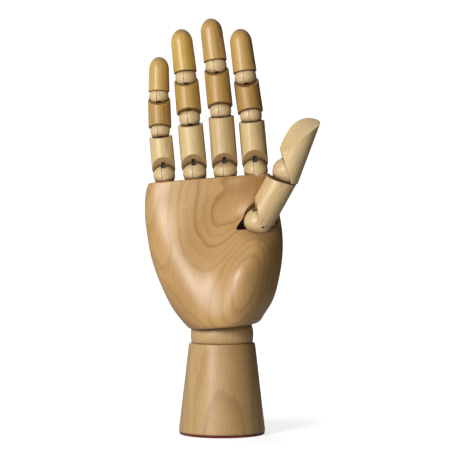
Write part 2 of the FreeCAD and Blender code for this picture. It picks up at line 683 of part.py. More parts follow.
def thumb():
    """The thumb: two thick segments, the second with a carved pad, a ball under each, and the links."""
    radius = THUMB_DIAMETER / 2
    ball = THUMB_BALL_DIAMETER / 2
    local_first, local_second = thumb_frames()
    first, second = HAND.multiply(local_first), HAND.multiply(local_second)
    tip_joint = FreeCAD.Placement(second.Base, first.Rotation)
    free = THUMB_PROXIMAL - 2 * ball
    tail = free * ANCHOR_SHARE
    rise = radius / math.tan(math.radians(THUMB_FOOT_CUT_DEGREES))
    link_turn = FreeCAD.Rotation(RIGHT, THUMB_LINK_TURN_DEGREES)

    top = radius * THUMB_PROXIMAL_TOP_SHARE
    high = THUMB_PROXIMAL + THUMB_RIM_EXTENSOR
    wood = turned([(0, -radius), (radius, -radius), (top, high), (0, high)])
    rim = half_space(THUMB_PROXIMAL + THUMB_RIM_FLEXOR, high, top, False)
    cut_turn = FreeCAD.Placement(ORIGIN, FreeCAD.Rotation(UP, THUMB_CUT_TURN_DEGREES))
    foot_cut = placed(half_space(rise, -rise, radius, True), cut_turn)
    wood = wood.cut(placed(rim, cut_turn)).cut(foot_cut)
    shoulder = Part.makeBox(WORK_SIZE, WORK_SIZE, WORK_SIZE,
                            V(-WORK_SIZE / 2, -WORK_SIZE / 2, -THUMB_FOOT_LIFT - WORK_SIZE))
    shoulder = placed(shoulder, FreeCAD.Placement(local_first.Base, FreeCAD.Rotation()))
    wood = wood.cut(placed(shoulder, local_first.inverse()))

    def proximal_radius(height):
        return radius + (top - radius) * (height + radius) / (high + radius)

    wood = soften_rims(wood, proximal_radius, RIM_ROUND)
    wood = bored(wood, ball, tail, THUMB_PROXIMAL, ball, tail)
    keep("thumb_proximal", [placed(wood, first)])

    foot, end = radius * THUMB_TIP_FOOT_SHARE, radius * THUMB_TIP_TOP_SHARE
    wood = turned([(0, -foot), (foot, -foot), (end, THUMB_TIP), (0, THUMB_TIP)])
    wood = wood.cut(foot_cut)
    trim = half_space(THUMB_RIM_FLEXOR + THUMB_RIM_GAP, THUMB_RIM_EXTENSOR + THUMB_RIM_GAP, top, True)
    bend = FreeCAD.Placement(ORIGIN, FreeCAD.Rotation(RIGHT, -THUMB_TIP_BEND_DEGREES))
    wood = wood.cut(placed(placed(trim, cut_turn), bend))

    def tip_radius(height):
        return foot + (end - foot) * (height + foot) / (THUMB_TIP + foot)

    pad_turn = FreeCAD.Placement(ORIGIN, FreeCAD.Rotation(UP, THUMB_PAD_TURN_DEGREES))
    wood = wood.cut(placed(pad_cut(end), pad_turn))
    wood = soften_rims(wood, tip_radius, RIM_ROUND)
    keep("thumb_tip", [placed(bored(wood, ball, tail), second)])

    half_turn = FreeCAD.Placement(ORIGIN, FreeCAD.Rotation(RIGHT, THUMB_LINK_TURN_DEGREES / 2))
    for node, frame in (("thumb_base_ball", first.multiply(half_turn)), ("thumb_tip_ball", tip_joint)):
        keep(node, [placed(slotted_ball(ball), frame), placed(filler(ball, THUMB_FILLER_GAP), frame)])

    link = placed(eye_link(ball, THUMB_LINK_TAIL), FreeCAD.Placement(ORIGIN, link_turn))
    keep("thumb_base_link", [placed(link, first), placed(pin(ball), first)])
    lower = fork_link(ball, tail).fuse(anchor(ball, ball + tail))
    upper = placed(eye_link(ball, tail), tip_joint)
    plug = anchor(THUMB_PROXIMAL - ball, THUMB_PROXIMAL - ball - tail)
    upper = upper.fuse(placed(plug, first))
    keep("thumb_proximal_links", [placed(lower, first), upper, placed(pin(ball), tip_joint)])
    keep("thumb_tip_link", [placed(fork_link(ball, tail).fuse(anchor(ball, ball + tail)), second)])


def pad_cut(radius):
    """What the carver takes off the thumb's end: a curved slope from the pad to a sharp far edge."""
    points = [V(0, -across * radius, up * THUMB_TIP) for across, up in PAD_SHARES]
    curve = Part.BSplineCurve()
    curve.interpolate(Points=points)
    outside = [points[-1], V(0, radius + radius, THUMB_TIP), V(0, radius + radius, 2 * THUMB_TIP),
               V(0, -3 * radius, 2 * THUMB_TIP), V(0, -3 * radius, points[0].z), points[0]]
    lines = [Part.LineSegment(a, b).toShape() for a, b in zip(outside, outside[1:])]
    face = Part.Face(Part.Wire(Part.__sortEdges__([curve.toShape()] + lines)))
    face.translate(V(-2 * radius, 0, 0))
    return face.extrude(V(4 * radius, 0, 0))


base()
wrist_hardware()
wrist_ball()
palm()
for finger_name, finger_sizes in FINGERS.items():
    finger(finger_name, finger_sizes)
thumb()

os.makedirs("parts", exist_ok=True)
for node, shape in NODES.items():
    shape.exportStep("parts/" + node + ".step")
    print(node, len(shape.Solids), round(shape.Volume, 1), shape.isValid())
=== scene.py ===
# %% [markdown]
# A jointed wooden hand, as artists keep on a desk to draw poses from.
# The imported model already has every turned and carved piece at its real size,
# so this lesson is about finishes: wood with grown rings, drawn steel wire and pressed felt.
# Then it lights the hand softly and sets the camera level, at half of the hand's height.

# %% Load the frame
import json
import math

import bpy
import numpy as np
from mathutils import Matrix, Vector


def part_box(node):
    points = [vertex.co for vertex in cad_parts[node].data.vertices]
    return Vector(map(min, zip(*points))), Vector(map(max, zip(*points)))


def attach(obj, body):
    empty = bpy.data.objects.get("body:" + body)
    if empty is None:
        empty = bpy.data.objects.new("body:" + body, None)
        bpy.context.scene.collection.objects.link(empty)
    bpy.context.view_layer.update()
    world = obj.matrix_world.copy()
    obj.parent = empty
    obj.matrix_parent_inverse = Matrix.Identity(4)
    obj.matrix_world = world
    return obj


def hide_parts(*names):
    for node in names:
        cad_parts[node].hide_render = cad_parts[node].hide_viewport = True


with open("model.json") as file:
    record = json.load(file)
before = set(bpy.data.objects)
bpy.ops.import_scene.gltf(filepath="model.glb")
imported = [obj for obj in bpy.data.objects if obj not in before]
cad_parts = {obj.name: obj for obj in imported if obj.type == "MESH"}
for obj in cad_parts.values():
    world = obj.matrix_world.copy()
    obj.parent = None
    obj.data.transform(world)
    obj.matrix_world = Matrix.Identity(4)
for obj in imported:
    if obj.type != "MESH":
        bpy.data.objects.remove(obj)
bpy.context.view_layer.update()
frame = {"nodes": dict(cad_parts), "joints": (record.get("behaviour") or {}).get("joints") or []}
nodes = frame["nodes"]

# %% [markdown]
# Where each joint sits is read from the frame, because wood grain follows a segment.
# A finger segment is turned from a stick, so its grain runs from its lower joint to its upper one.

# %% Joint places
FINGERS = ("little", "ring", "middle", "index")
joint_place = {joint["name"]: Vector(joint["pos_m"]) for joint in frame["joints"]}


def middle_of(name):
    """The centre of a piece's box: half of its lowest and highest corners added up."""
    low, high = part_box(name)
    return (Vector(low) + Vector(high)) / 2


# %% [markdown]
# Colours are picked as screen values from 0 to 255.
# A shader works with light, not with screen values, so each is turned into a linear one.

# %% Colours
SCREEN_STRAIGHT_END = 0.04045


def tint(red, green, blue):
    """Screen colour to linear light: a straight line near black, and above it a power curve of 2.4."""
    screen = np.array((red, green, blue)) / 255
    curved = ((screen + 0.055) / 1.055) ** 2.4
    light = np.where(screen > SCREEN_STRAIGHT_END, curved, screen / 12.92)
    return (*light.tolist(), 1.0)


print("pale wood as light", [round(v, 3) for v in tint(222, 192, 142)])

# %% [markdown]
# A node tree is easier to read when each node takes one line.
# The first helper makes any node with its settings, and fills or links its sockets.
# The others are the few nodes that every finish here needs: sums, soft steps, noise and mixed colours.

# %% Node helpers
# A Mix node keeps sockets for every kind of value, so those for colours are found by their number.
MIX_SHARE, MIX_FIRST, MIX_SECOND, MIX_RESULT = 0, 6, 7, 2


def put(tree, kind, sockets=None, **settings):
    """Add one node. A value that is a socket is linked, and any other value is written on the socket."""
    made = tree.nodes.new("ShaderNode" + kind)
    for name, value in settings.items():
        setattr(made, name, value)
    for name, value in (sockets or {}).items():
        if isinstance(value, bpy.types.NodeSocket):
            tree.links.new(value, made.inputs[name])
        else:
            made.inputs[name].default_value = value
    return made


def calc(tree, operation, *values):
    """One Math node, such as a sum or a product of its values."""
    return put(tree, "Math", dict(enumerate(values)), operation=operation).outputs[0]


def ramp(tree, value, start, end, low=0.0, high=1.0):
    """A smooth S-shaped step from low to high while the value goes from start to end."""
    sockets = {"Value": value, "From Min": start, "From Max": end, "To Min": low, "To Max": high}
    return put(tree, "MapRange", sockets, interpolation_type="SMOOTHSTEP").outputs[0]


def speckle(tree, vector, scale, detail=2.0):
    """Cloudy noise between 0 and 1 at so many features to the metre."""
    sockets = {"Vector": vector, "Scale": scale, "Detail": detail}
    return put(tree, "TexNoise", sockets).outputs["Fac"]


def blend_colours(tree, share, first, second):
    """First colour where the share is 0, second where it is 1."""
    sockets = {MIX_SHARE: share, MIX_FIRST: first, MIX_SECOND: second}
    return put(tree, "Mix", sockets, data_type="RGBA").outputs[MIX_RESULT]


print("node helpers ready")

# %% [markdown]
# Wood and drawn wire are streaked one way. Noise becomes a streak when its space is squeezed that way,
# so two more helpers turn a piece's space along its grain, and draw a pattern out along Z.
# Two others start a finish and give it a surface that stands up a little in the light.

# %% Helpers for streaks and finishes
UP = Vector((0, 0, 1))


def turned_along(tree, vector, way, origin=(0, 0, 0)):
    """The vector measured from the origin, in a space whose Z axis runs the given way."""
    turn = Vector(way).normalized().rotation_difference(UP).to_matrix()
    place = put(tree, "Mapping", {"Vector": vector}, vector_type="POINT")
    place.inputs["Rotation"].default_value = turn.to_euler()
    place.inputs["Location"].default_value = -(turn @ Vector(origin))
    return place.outputs[0]


def drawn_out(tree, vector, along):
    """The vector with its Z multiplied by along: the smaller this is, the longer the streaks."""
    return put(tree, "VectorMath", {0: vector, 1: (1.0, 1.0, along)}, operation="MULTIPLY").outputs[0]


def raise_surface(tree, skin, height, strength, distance):
    """Tilt the normals as if the surface stood up by its height, up to the distance in metres."""
    relief = put(tree, "Bump", {"Strength": strength, "Distance": distance, "Height": height})
    tree.links.new(relief.outputs[0], skin.inputs["Normal"])


def new_finish(name, numbers):
    """A material with its node tree and its main shader, whose own sockets take the numbers."""
    finish = bpy.data.materials.new(name)
    finish.use_nodes = True
    skin = finish.node_tree.nodes["Principled BSDF"]
    for label, value in numbers.items():
        skin.inputs[label].default_value = value
    return finish, finish.node_tree, skin


print("streak and finish helpers ready")

# %% [markdown]
# Several finishes use the same effect, so each effect is a node group with named sockets.
# A group is built once, and every material places it with its own numbers.

# %% A helper for effect groups


def effect(name, takes, gives):
    """An empty node group. takes and gives pair a socket's name with its kind and its first value."""
    group = bpy.data.node_groups.new(name, "ShaderNodeTree")
    for label, kind, first in takes:
        made = group.interface.new_socket(label, in_out="INPUT", socket_type="NodeSocket" + kind)
        if first is not None:
            made.default_value = first
    for label, kind in gives:
        group.interface.new_socket(label, in_out="OUTPUT", socket_type="NodeSocket" + kind)
    inlet = group.nodes.new("NodeGroupInput").outputs
    outlet = group.nodes.new("NodeGroupOutput").inputs
    return group, inlet, outlet


print("effect helper ready")

# %% [markdown]
# Wood grows in rings round a pith. Each year starts pale and ends in a thin darker line.
# A cut face shows those rings as straight lines, arches or closed loops, by how it meets them.
# A picture of wood wrapped round the pieces would smear on their curves. So the pattern is worked out
# in space, round a pith line that each piece gets for itself, and the carved pads show their loops.

# %% The sockets of the wood group
grown_wood, take, give = effect(
    "grown_wood",
    (
        ("Vector", "Vector", None),
        ("Ring Width", "Float", 0.003),
        ("Waver", "Float", 0.004),
        ("Ring Depth", "Float", 0.5),
        ("Fibre Depth", "Float", 0.3),
        ("Pale", "Color", tint(226, 198, 150)),
        ("Deep", "Color", tint(176, 132, 80)),
    ),
    (("Colour", "Color"), ("Height", "Float"), ("Gloss", "Float")),
)
spot = take["Vector"]
print("grown_wood takes", len(take) - 1, "values")

# %% [markdown]
# The age of a spot is its distance from the pith over a ring's width,
# and that distance is the root of X squared plus Y squared.
# A tree isn't a perfect cylinder, so slow noise bends the rings and quicker noise ripples them.

# %% How old the wood is at each spot
SLOW_ALONG = 0.22
BEND_SCALE = 26.0
RIPPLE_SCALE = 140.0
RIPPLE_DEPTH = 0.0011


def sway(tree, vector, scale, amount):
    """Noise from minus half to plus half of the amount."""
    centred = calc(tree, "SUBTRACT", speckle(tree, vector, scale), 0.5)
    return calc(tree, "MULTIPLY", centred, amount)


slow = drawn_out(grown_wood, spot, SLOW_ALONG)
parts = put(grown_wood, "SeparateXYZ", {0: spot}).outputs
square_x = calc(grown_wood, "MULTIPLY", parts["X"], parts["X"])
square_y = calc(grown_wood, "MULTIPLY", parts["Y"], parts["Y"])
from_pith = calc(grown_wood, "SQRT", calc(grown_wood, "ADD", square_x, square_y))
bend = sway(grown_wood, slow, BEND_SCALE, take["Waver"])
ripple = sway(grown_wood, slow, RIPPLE_SCALE, RIPPLE_DEPTH)
from_pith = calc(grown_wood, "ADD", from_pith, calc(grown_wood, "ADD", bend, ripple))
years = calc(grown_wood, "DIVIDE", from_pith, take["Ring Width"])
print("rings bend at", BEND_SCALE, "and ripple at", RIPPLE_SCALE, "features to the metre")

# %% [markdown]
# Late wood is dark: it comes on slowly through a year and stops at once when the next spring starts.
# Good and bad years differ, so each whole year draws its own strength.

# %% The dark line at the end of each year
LATE_STARTS = (0.3, 0.9)
LATE_STOPS = (0.93, 1.0)
LATE_NARROWING = 1.7
WEAKEST_YEAR = 0.25
season = calc(grown_wood, "FRACT", years)
whole_year = calc(grown_wood, "FLOOR", years)
strength = put(grown_wood, "TexWhiteNoise", {"W": whole_year}, noise_dimensions="1D").outputs["Value"]
strength = calc(grown_wood, "MULTIPLY_ADD", strength, 1 - WEAKEST_YEAR, WEAKEST_YEAR)
rise = ramp(grown_wood, season, *LATE_STARTS)
fall = ramp(grown_wood, season, *LATE_STOPS, low=1.0, high=0.0)
late = calc(grown_wood, "POWER", calc(grown_wood, "MULTIPLY", rise, fall), LATE_NARROWING)
late = calc(grown_wood, "MULTIPLY", late, strength)
print("late wood from", LATE_STARTS[0], "to", LATE_STOPS[1], "of a year")

# %% [markdown]
# Close up, wood is a bundle of fibres with open pores between them, drawn out along the grain.
# Large soft clouds, where the lacquer sank in deeper, keep a plain face from looking printed.

# %% Fibres, pores and clouds
FIBRE_ALONG = 0.025
FIBRE_SCALE = 2100.0
PORE_ALONG = 0.07
PORE_SCALE = 1500.0
PORE_RANGE = (0.63, 0.74)
CLOUD_SCALE = 38.0
fibre = speckle(grown_wood, drawn_out(grown_wood, spot, FIBRE_ALONG), FIBRE_SCALE, detail=3.0)
pore_noise = speckle(grown_wood, drawn_out(grown_wood, spot, PORE_ALONG), PORE_SCALE, detail=1.0)
pore = ramp(grown_wood, pore_noise, *PORE_RANGE)
cloud = speckle(grown_wood, slow, CLOUD_SCALE, detail=3.0)
print("fibres at", FIBRE_SCALE, "and pores at", PORE_SCALE, "features to the metre")

# %% [markdown]
# The colour is built in layers, from the pale wood up: rings, clouds, fibres, then the dark pores.
# The same masks give the height that the light plays on, and how glossy each fibre is.

# %% Colour, height and gloss of the wood
CLOUD_RANGE = (0.35, 0.7)
CLOUD_DEPTH = 0.22
FIBRE_RANGE = (0.42, 0.72)
PORE_COLOUR = tint(120, 80, 44)
FIBRE_RISE, RING_RISE, PORE_DROP = 0.35, 0.3, 0.5
GLOSS_LEAST, GLOSS_SPREAD = 0.33, 0.16
ring_share = calc(grown_wood, "MULTIPLY", late, take["Ring Depth"])
body = blend_colours(grown_wood, ring_share, take["Pale"], take["Deep"])
cloud_share = calc(grown_wood, "MULTIPLY", ramp(grown_wood, cloud, *CLOUD_RANGE), CLOUD_DEPTH)
body = blend_colours(grown_wood, cloud_share, body, take["Deep"])
fibre_share = calc(grown_wood, "MULTIPLY", ramp(grown_wood, fibre, *FIBRE_RANGE), take["Fibre Depth"])
body = blend_colours(grown_wood, fibre_share, body, take["Deep"])
pore_share = calc(grown_wood, "MULTIPLY", pore, take["Fibre Depth"])
body = blend_colours(grown_wood, pore_share, body, PORE_COLOUR)
height = calc(grown_wood, "MULTIPLY_ADD", fibre, FIBRE_RISE, calc(grown_wood, "MULTIPLY", late, RING_RISE))
height = calc(grown_wood, "SUBTRACT", height, calc(grown_wood, "MULTIPLY", pore, PORE_DROP))
grown_wood.links.new(body, give["Colour"])
grown_wood.links.new(height, give["Height"])
grown_wood.links.new(calc(grown_wood, "MULTIPLY_ADD", fibre, GLOSS_SPREAD, GLOSS_LEAST), give["Gloss"])
print("grown_wood has", len(grown_wood.nodes), "nodes")

# %% [markdown]
# Hands turn the pieces for years. Edges lose lacquer and go pale, and a painted highlight makes them paler
# where the rims catch the light. Slots are painted darker: painted shade where little light reaches.
# Painting both by hand would take a map for each piece, so the shader finds them from the shape:
# an edge is where the real normal differs from a softened one, a slot where little open air is seen.

# %% Pale edges with wear and painted highlight, and painted shade in slots
EDGE_RADIUS = 0.0008
EDGE_AGREEMENT = (0.992, 0.9)
PATCH_SCALE = 420.0
PATCH_RANGE = (0.3, 0.62)
SLOT_REACH = 0.0065
SLOT_OPENNESS = (0.86, 0.3)
# The pale colour is wear plus a painted highlight on the edges, and the dark one is painted shade in the
# slots.
WORN_AND_LIT_EDGE = tint(238, 216, 176)
SLOT_PAINTED_SHADE = tint(70, 42, 20)
wear_and_painted_light, take, give = effect(
    "wear_and_painted_light",
    (("Colour", "Color", tint(200, 160, 110)), ("Wear And Highlight", "Float", 0.85), ("Painted Shade", "Float", 0.85)),
    (("Colour", "Color"), ("Edge", "Float")),
)
softened = put(wear_and_painted_light, "Bevel", {"Radius": EDGE_RADIUS}, samples=6).outputs[0]
real = put(wear_and_painted_light, "NewGeometry").outputs["Normal"]
agreement = put(wear_and_painted_light, "VectorMath", {0: softened, 1: real}, operation="DOT_PRODUCT").outputs["Value"]
where = put(wear_and_painted_light, "TexCoord").outputs["Object"]
patchy = ramp(wear_and_painted_light, speckle(wear_and_painted_light, where, PATCH_SCALE, detail=3.0), *PATCH_RANGE)
edge = calc(wear_and_painted_light, "MULTIPLY", ramp(wear_and_painted_light, agreement, *EDGE_AGREEMENT), patchy)
edge = calc(wear_and_painted_light, "MULTIPLY", edge, take["Wear And Highlight"])
# Painted shade: where little open air is seen, the colour goes dark, as shade in slots and under rims.
open_air = put(wear_and_painted_light, "AmbientOcclusion", {"Distance": SLOT_REACH}, samples=8).outputs["AO"]
painted_shade_share = calc(wear_and_painted_light, "MULTIPLY", ramp(wear_and_painted_light, open_air, *SLOT_OPENNESS), take["Painted Shade"])
worn_and_lit_colour = blend_colours(wear_and_painted_light, edge, take["Colour"], WORN_AND_LIT_EDGE)
wear_and_painted_light.links.new(blend_colours(wear_and_painted_light, painted_shade_share, worn_and_lit_colour, SLOT_PAINTED_SHADE), give["Colour"])
wear_and_painted_light.links.new(edge, give["Edge"])
print("handling has", len(wear_and_painted_light.nodes), "nodes")

# %% [markdown]
# A finish goes on every material slot of a piece, and is linked to the object, not to its mesh.
# That way a finish can change without touching the mesh, which stays as it came from the frame.

# %% Dress a piece


def dress(name, finish):
    """Put a finish on every material slot of a piece of the frame."""
    piece = nodes[name]
    if not piece.material_slots:
        piece.data.materials.append(finish)
    for place in piece.material_slots:
        place.link = "OBJECT"
        place.material = finish


print("pieces in the frame", len(nodes))

# %% [markdown]
# Every wooden piece gets its own material, because every piece was cut from its own stick.
# Its space is turned until Z runs along the grain, and the pith is set to one side,
# so that a finger shows straight lines and the palm shows loops.
# Where a cut crosses the grain it is painted darker: partly the open ends of the fibres drinking more
# lacquer, and partly painted shade on the cut faces under the segments' rims.

# %% A wood finish for one piece
# The colour for faces across the grain: real end grain, and painted shade on the cut faces under the rims.
END_GRAIN_AND_SHADE = tint(146, 100, 56)
END_GRAIN_AND_SHADE_RANGE = (0.38, 0.8)
WORN_ROUGHNESS = 0.2
WOOD_RELIEF = 0.22
WOOD_RELIEF_HEIGHT = 0.0002
LACQUER = {
    "IOR": 1.45,
    "Specular IOR Level": 0.35,
    "Coat Weight": 0.6,
    "Coat Roughness": 0.32,
    "Coat IOR": 1.45,
}


def end_grain_and_shade_share(tree, facing, grain, across_grain_darkening):
    """0 on faces along the grain, and the given darkening on faces across it, by the dot product of normal
    and grain. On the cut faces under the rims this darkening is painted shade.
    """
    upright = put(tree, "VectorMath", {0: facing, 1: Vector(grain).normalized()}, operation="DOT_PRODUCT")
    across = calc(tree, "ABSOLUTE", upright.outputs["Value"])
    return ramp(tree, across, *END_GRAIN_AND_SHADE_RANGE, low=0.0, high=across_grain_darkening)


def dress_in_wood(name, grain, pith, shades, width=0.0022, waver=0.003, rings=0.5, fibres=0.3, across_grain_darkening=0.55):
    """Lacquered wood on one piece. grain is the way of its fibres, pith a point on its pith line in metres,
    shades its pale and its deep colour, width the width of a year. The rest say how strong each effect is."""
    finish, tree, skin = new_finish(name + "_wood", LACQUER)
    facts = put(tree, "TexCoord").outputs
    figure = put(tree, "Group", node_tree=grown_wood)
    tree.links.new(turned_along(tree, facts["Object"], grain, pith), figure.inputs["Vector"])
    pale, deep = shades
    values = {"Ring Width": width, "Waver": waver, "Ring Depth": rings, "Fibre Depth": fibres}
    for label, value in {**values, "Pale": pale, "Deep": deep}.items():
        figure.inputs[label].default_value = value
    soaked_and_shaded = end_grain_and_shade_share(tree, facts["Normal"], grain, across_grain_darkening)
    wear_and_light_node = put(tree, "Group", node_tree=wear_and_painted_light)
    tree.links.new(blend_colours(tree, soaked_and_shaded, figure.outputs["Colour"], END_GRAIN_AND_SHADE), wear_and_light_node.inputs["Colour"])
    tree.links.new(wear_and_light_node.outputs["Colour"], skin.inputs["Base Color"])
    rough = calc(tree, "MULTIPLY_ADD", wear_and_light_node.outputs["Edge"], WORN_ROUGHNESS, figure.outputs["Gloss"])
    tree.links.new(rough, skin.inputs["Roughness"])
    raise_surface(tree, skin, figure.outputs["Height"], WOOD_RELIEF, WOOD_RELIEF_HEIGHT)
    dress(name, finish)


print("wood finish ready")

# %% [markdown]
# The base is turned from one block with upright grain, so its front shows faint pointed arches.
# Its pith stands near the front at the foot and leans back as it rises,
# so the front face cuts the rings at a slant, and that draws the arches.
# The wrist ball is turned from other wood, with its pith far outside, so its lines are nearly straight.

# %% Base and wrist ball
dress_in_wood(
    "base_cone",
    grain=(0.0, 0.21, 1),
    pith=(0.001, -0.0142, 0.0),
    shades=(tint(212, 174, 118), tint(166, 118, 66)),
    width=0.003,
    waver=0.0025,
    rings=0.42,
    fibres=0.24,
)
dress_in_wood(
    "wrist_ball",
    grain=(0.1, 0.0, 1),
    pith=(0.03, 0.05, 0.07),
    shades=(tint(214, 179, 122), tint(174, 130, 76)),
    width=0.003,
    rings=0.3,
    fibres=0.24,
)
print("base and wrist ball dressed")

# %% [markdown]
# The palm is the largest piece. Its board was sawn flat, with the pith far behind the back of the hand.
# Where the carver rounded the pads, the knife passed through several years, which show as loops.

# %% Palm
palm_middle = middle_of("palm")
PITH_BEHIND_PALM = Vector((0.012, 0.055, 0))
dress_in_wood(
    "palm",
    grain=(0.16, 0.05, 1),
    pith=palm_middle + PITH_BEHIND_PALM,
    shades=(tint(212, 168, 106), tint(156, 106, 52)),
    width=0.0034,
    waver=0.008,
    rings=0.6,
    fibres=0.24,
)
print("palm dressed, middle at", [round(v, 3) for v in palm_middle])

# %% [markdown]
# Twelve finger segments come from many sticks, so their shades differ: the lowest row is the palest.
# One shared wood would make them look cast, so each has its own pale and deep colour, listed row by row.

# %% Shades of the finger segments
PROXIMAL_SHADES = {
    "little": (tint(240, 213, 154), tint(200, 160, 98)),
    "ring": (tint(238, 212, 154), tint(204, 164, 102)),
    "middle": (tint(228, 199, 144), tint(192, 150, 94)),
    "index": (tint(232, 204, 146), tint(196, 156, 96)),
}
MIDDLE_SHADES = {
    "little": (tint(204, 162, 84), tint(158, 112, 48)),
    "ring": (tint(212, 171, 88), tint(166, 120, 50)),
    "middle": (tint(208, 164, 86), tint(166, 120, 52)),
    "index": (tint(196, 154, 80), tint(150, 106, 44)),
}
TIP_SHADES = {
    "little": (tint(220, 178, 98), tint(182, 134, 66)),
    "ring": (tint(222, 182, 92), tint(182, 136, 58)),
    "middle": (tint(212, 170, 98), tint(168, 122, 60)),
    "index": (tint(222, 180, 102), tint(180, 134, 64)),
}
print("shades for", len(PROXIMAL_SHADES) + len(MIDDLE_SHADES) + len(TIP_SHADES), "segments")

# %% [markdown]
# The grain of a segment runs from joint to joint, as the maker would lay it for strength.
# The pith stands to one side, and goes round by a step from each finger and each row to the next,
# with one of three distances and three ring widths, so that no two segments show the same lines.

# %% Finger segments
SIDE_START, SIDE_PER_FINGER, SIDE_PER_ROW = 0.9, 1.3, 2.1
PITH_NEAREST, PITH_STEP = 0.028, 0.006
WIDTH_LEAST, WIDTH_STEP = 0.0016, 0.0003
KINDS = 3
for count, finger in enumerate(FINGERS):
    knuckle = joint_place[f"{finger}_knuckle"]
    bend_low = joint_place[f"{finger}_middle_joint"]
    bend_high = joint_place[f"{finger}_tip_joint"]
    top = middle_of(f"{finger}_finger_tip")
    rows = (
        ("proximal", knuckle, bend_low, PROXIMAL_SHADES),
        ("middle", bend_low, bend_high, MIDDLE_SHADES),
        ("tip", bend_high, top, TIP_SHADES),
    )
    for row, (part, start, end, shades) in enumerate(rows):
        angle = SIDE_START + SIDE_PER_FINGER * count + SIDE_PER_ROW * row
        away = PITH_NEAREST + PITH_STEP * ((count + row) % KINDS)
        dress_in_wood(
            f"{finger}_finger_{part}",
            grain=end - start,
            pith=start + Vector((math.cos(angle), math.sin(angle), 0)) * away,
            shades=shades[finger],
            width=WIDTH_LEAST + WIDTH_STEP * ((count + 2 * row) % KINDS),
            waver=0.0016,
            rings=0.42,
            fibres=0.34,
        )
print("segments dressed:", len(rows) * len(FINGERS))

# %% [markdown]
# The balls are turned from offcuts, with the grain leaning any way, and end grain shows on some of them.
# A thin strip of the same wood fills the slot behind each ball's link.

# %% Finger balls
BALL_SHADES = (tint(238, 210, 158), tint(200, 160, 104))
LEAN_START, LEAN_PER_FINGER, LEAN_PER_ROW = 0.5, 1.9, 1.1
LEAN_SIDEWAYS, LEAN_BACK = 0.35, 0.3
BALL_PITH_SIDE, BALL_PITH_BACK = 0.012, 0.014
BALL_ROWS = (("knuckle", "knuckle"), ("middle", "middle_joint"), ("tip", "tip_joint"))
for count, finger in enumerate(FINGERS):
    for row, (part, joint) in enumerate(BALL_ROWS):
        angle = LEAN_START + LEAN_PER_FINGER * count + LEAN_PER_ROW * row
        beside = Vector((BALL_PITH_SIDE * math.cos(angle), BALL_PITH_BACK, 0))
        dress_in_wood(
            f"{finger}_finger_{part}_ball",
            grain=(LEAN_SIDEWAYS * math.cos(angle), LEAN_BACK * math.sin(angle), 1),
            pith=joint_place[f"{finger}_{joint}"] + beside,
            shades=BALL_SHADES,
            width=0.0017,
            waver=0.0012,
            rings=0.35,
            fibres=0.28,
        )
print("balls dressed:", len(BALL_ROWS) * len(FINGERS))

# %% [markdown]
# The thumb has two segments and two balls, thicker than the fingers' and cut at a slant.
# Its tip is the palest piece of all: its shades are painted pale, a painted highlight for the light on its
# flat pad, and its slanted cuts are darkened little across the grain, to keep that highlight.

# %% Thumb
thumb_base = joint_place["thumb_base_joint"]
thumb_bend = joint_place["thumb_tip_joint"]
dress_in_wood(
    "thumb_proximal",
    grain=thumb_bend - thumb_base,
    pith=thumb_base + Vector((0.03, 0.03, 0)),
    shades=(tint(240, 208, 152), tint(196, 152, 94)),
    width=0.0021,
    waver=0.002,
    rings=0.4,
    fibres=0.32,
)
dress_in_wood(
    "thumb_tip",
    grain=middle_of("thumb_tip") - thumb_bend,
    pith=thumb_bend + Vector((-0.02, 0.03, 0)),
    # Painted highlight: these shades are paler than the wood, for the light on the flat pad.
    shades=(tint(250, 220, 164), tint(208, 166, 106)),
    width=0.0023,
    waver=0.002,
    rings=0.4,
    fibres=0.3,
    # Little darkening across the grain, so the pad keeps its painted highlight.
    across_grain_darkening=0.12,
)
for name, centre in (("thumb_base_ball", thumb_base), ("thumb_tip_ball", thumb_bend)):
    dress_in_wood(
        name,
        grain=(0.5, 0.1, 1),
        pith=centre + Vector((0.01, 0.015, 0)),
        shades=BALL_SHADES,
        width=0.0018,
        rings=0.35,
    )
print("thumb dressed")

# %% [markdown]
# Rods, eyes, pins, nut, washer and spring are steel wire and bar, with fine marks from drawing or turning.
# They hide inside the wood, and only a glint shows in a slot, so one group with two directions is enough.
# Their colours are painted dark, as painted shade in the slots where they show.

# %% Marks of drawn steel
MARK_ALONG = 0.06
MARK_SCALE = 3200.0
STAIN_SCALE = 260.0
STAIN_RANGE = (0.5, 0.75)
STAIN_DEPTH = 0.5
# Painted shade: both steel colours are far darker than bare steel, for the dark slots that the links show in.
STEEL_DARK_SHADED, STEEL_BRIGHT_SHADED = tint(52, 46, 40), tint(84, 78, 70)
STAIN_COLOUR = tint(58, 48, 40)
ROUGH_LEAST, ROUGH_SPREAD = 0.35, 0.25
drawn, take, give = effect(
    "drawn_marks",
    (("Vector", "Vector", None), ("Marks", "Float", 1.0)),
    (("Colour", "Color"), ("Roughness", "Float"), ("Height", "Float")),
)
scratch = speckle(drawn, drawn_out(drawn, take["Vector"], MARK_ALONG), MARK_SCALE, detail=4.0)
stain = speckle(drawn, take["Vector"], STAIN_SCALE, detail=3.0)
painted_dark_steel = blend_colours(drawn, scratch, STEEL_DARK_SHADED, STEEL_BRIGHT_SHADED)
stained = ramp(drawn, stain, *STAIN_RANGE, low=0.0, high=STAIN_DEPTH)
drawn.links.new(blend_colours(drawn, stained, painted_dark_steel, STAIN_COLOUR), give["Colour"])
drawn.links.new(calc(drawn, "MULTIPLY_ADD", scratch, ROUGH_SPREAD, ROUGH_LEAST), give["Roughness"])
drawn.links.new(calc(drawn, "MULTIPLY", scratch, take["Marks"]), give["Height"])
print("drawn_marks has", len(drawn.nodes), "nodes")

# %% [markdown]
# Links and rods stand upright in the hand, so their marks run up and down.
# Washer, nut and spring were turned or wound, so their marks run sideways.

